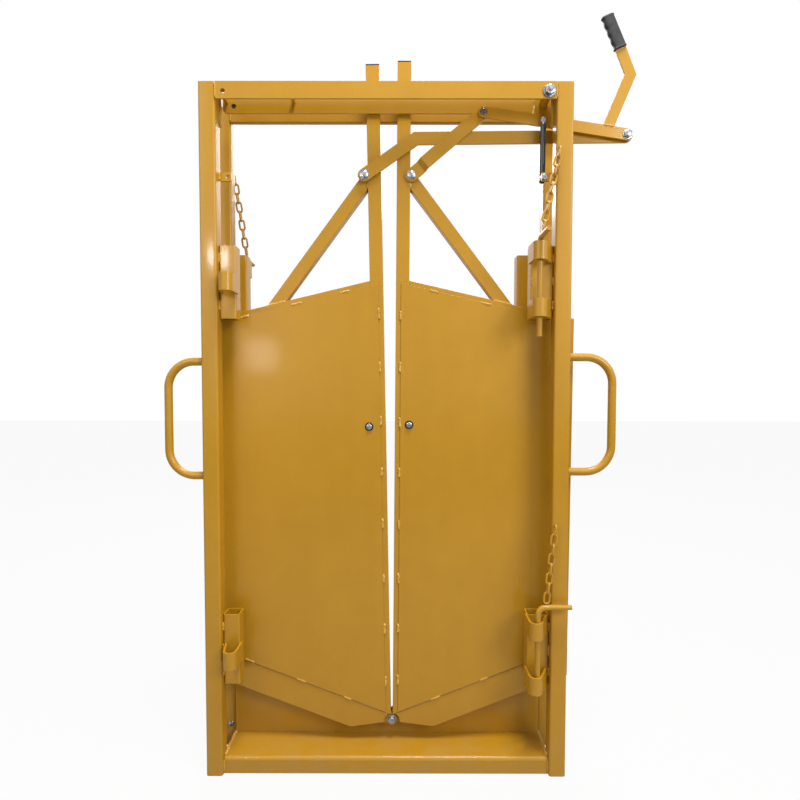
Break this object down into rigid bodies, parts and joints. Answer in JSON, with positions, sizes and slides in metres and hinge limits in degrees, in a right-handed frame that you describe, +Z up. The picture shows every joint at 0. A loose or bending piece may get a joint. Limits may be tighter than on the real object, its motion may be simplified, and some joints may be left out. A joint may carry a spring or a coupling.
{
  "type": "in-line livestock gate",
  "caption": "Free-standing in-line livestock gate: square tube frame, doors that swing about a low centre pivot, and an overhead hand lever with links and a gas strut.",
  "frame": {"origin": "on the floor, under the middle of the sill's front flange", "axes": "+Z up, +X to the right of the operator who faces the gate, +Y away from the operator"},
  "size_m": [1.088, 0.3535, 1.7694],
  "materials": {
    "orange_paint": "gloss",
    "zinc_plate": "zinc plated",
    "black_vinyl": "satin"
  },
  "bodies": {
    "frame": {"beam_front": "orange_paint", "beam_rear": "orange_paint", "carry_handle_left": "orange_paint", "carry_handle_right": "orange_paint", "guide_bar": "orange_paint", "kick_plate": "orange_paint", "pivot_pin": "zinc_plate", "post_front_left": "orange_paint", "post_front_right": "orange_paint", "post_rear_left": "orange_paint", "post_rear_right": "orange_paint", "sill": "orange_paint", "strut_bolt": "zinc_plate", "strut_tab_left": "orange_paint", "strut_tab_right": "orange_paint", "socket_front_left_lower": "orange_paint", "socket_front_left_upper": "orange_paint", "socket_front_right_lower": "orange_paint", "socket_front_right_upper": "orange_paint", "socket_rear_left_lower": "orange_paint", "socket_rear_left_upper": "orange_paint", "socket_rear_right_lower": "orange_paint", "socket_rear_right_upper": "orange_paint", "chain_front_lower": "orange_paint", "chain_front_upper": "orange_paint", "chain_rear_lower": "orange_paint", "chain_rear_upper": "orange_paint"},
    "door_left": {"door_left_bolt": "zinc_plate", "door_left_bottom_rail": "orange_paint", "door_left_brace": "orange_paint", "door_left_cap": "black_vinyl", "door_left_outer_stile": "orange_paint", "door_left_sheet": "orange_paint", "door_left_top_rail": "orange_paint", "door_left_upright": "orange_paint"},
    "door_right": {"door_right_bolt": "zinc_plate", "door_right_bottom_rail": "orange_paint", "door_right_brace": "orange_paint", "door_right_cap": "black_vinyl", "door_right_outer_stile": "orange_paint", "door_right_sheet": "orange_paint", "door_right_top_rail": "orange_paint", "door_right_upright": "orange_paint"},
    "lever": {"lever_bar": "orange_paint", "lever_nut": "zinc_plate", "handle_arm": "orange_paint", "grip": "black_vinyl", "link_bolt_left": "zinc_plate", "link_bolt_right": "zinc_plate"},
    "long_link": {"long_link": "orange_paint", "door_link_bolt_left": "zinc_plate"},
    "short_link": {"short_link": "orange_paint", "door_link_bolt_right": "zinc_plate"},
    "strut_cylinder": {"strut_cylinder": "black_vinyl"},
    "strut_rod": {"strut_rod": "zinc_plate"},
    "pin_front_lower": {"drop_pin_front_lower": "orange_paint"},
    "pin_front_upper": {"drop_pin_front_upper": "orange_paint"},
    "pin_rear_lower": {"drop_pin_rear_lower": "orange_paint"},
    "pin_rear_upper": {"drop_pin_rear_upper": "orange_paint"}
  },
  "joints": [
    {"name": "lever_swing", "type": "hinge", "parent": "frame", "child": "lever", "pos_m": [0.3635, 0.0422, 1.566], "axis": [0, -1, 0], "range_deg": [0, 150]},
    {"name": "door_left_swing", "type": "hinge", "parent": "frame", "child": "door_left", "pos_m": [0.0127, 0.0785, 0.088], "axis": [0, -1, 0], "range_deg": [0, 10.2]},
    {"name": "door_right_swing", "type": "hinge", "parent": "frame", "child": "door_right", "pos_m": [0.0127, 0.0785, 0.088], "axis": [0, -1, 0], "range_deg": [-12.1, 0]},
    {"name": "long_link_swing", "type": "hinge", "parent": "lever", "child": "long_link", "pos_m": [0.5595, 0.0525, 1.4957], "axis": [0, -1, 0], "range_deg": [-124.5, 0]},
    {"name": "short_link_swing", "type": "hinge", "parent": "lever", "child": "short_link", "pos_m": [0.225, 0.0474, 1.5472], "axis": [0, -1, 0], "range_deg": [-149.5, 0]},
    {"name": "strut_swing", "type": "hinge", "parent": "frame", "child": "strut_cylinder", "pos_m": [0.3606, 0.03465, 1.3871], "axis": [0, -1, 0], "range_deg": [-13.6, 0]},
    {"name": "strut_extend", "type": "slide", "parent": "strut_cylinder", "child": "strut_rod", "axis": [0.0051, 0, 1], "range_m": [0, 0.0797]},
    {"name": "pin_lift_front_upper", "type": "slide", "parent": "frame", "child": "pin_front_upper", "axis": [0, 0, 1], "range_m": [0, 0.15], "deforming": ["chain_front_upper"]},
    {"name": "pin_lift_front_lower", "type": "slide", "parent": "frame", "child": "pin_front_lower", "axis": [0, 0, 1], "range_m": [0, 0.15], "deforming": ["chain_front_lower"]},
    {"name": "pin_lift_rear_upper", "type": "slide", "parent": "frame", "child": "pin_rear_upper", "axis": [0, 0, 1], "range_m": [0, 0.15], "deforming": ["chain_rear_upper"]},
    {"name": "pin_lift_rear_lower", "type": "slide", "parent": "frame", "child": "pin_rear_lower", "axis": [0, 0, 1], "range_m": [0, 0.15], "deforming": ["chain_rear_lower"]}
  ],
  "couplings": [
    {"joint": "door_left_swing", "follows": "lever_swing", "ratio": 0.0668},
    {"joint": "door_right_swing", "follows": "lever_swing", "ratio": -0.0793},
    {"joint": "long_link_swing", "follows": "lever_swing", "ratio": -0.825},
    {"joint": "short_link_swing", "follows": "lever_swing", "ratio": -0.992},
    {"joint": "strut_swing", "follows": "lever_swing", "ratio": -0.09},
    {"joint": "strut_extend", "follows": "lever_swing", "m_per_rad": 0.0303}
  ]
}
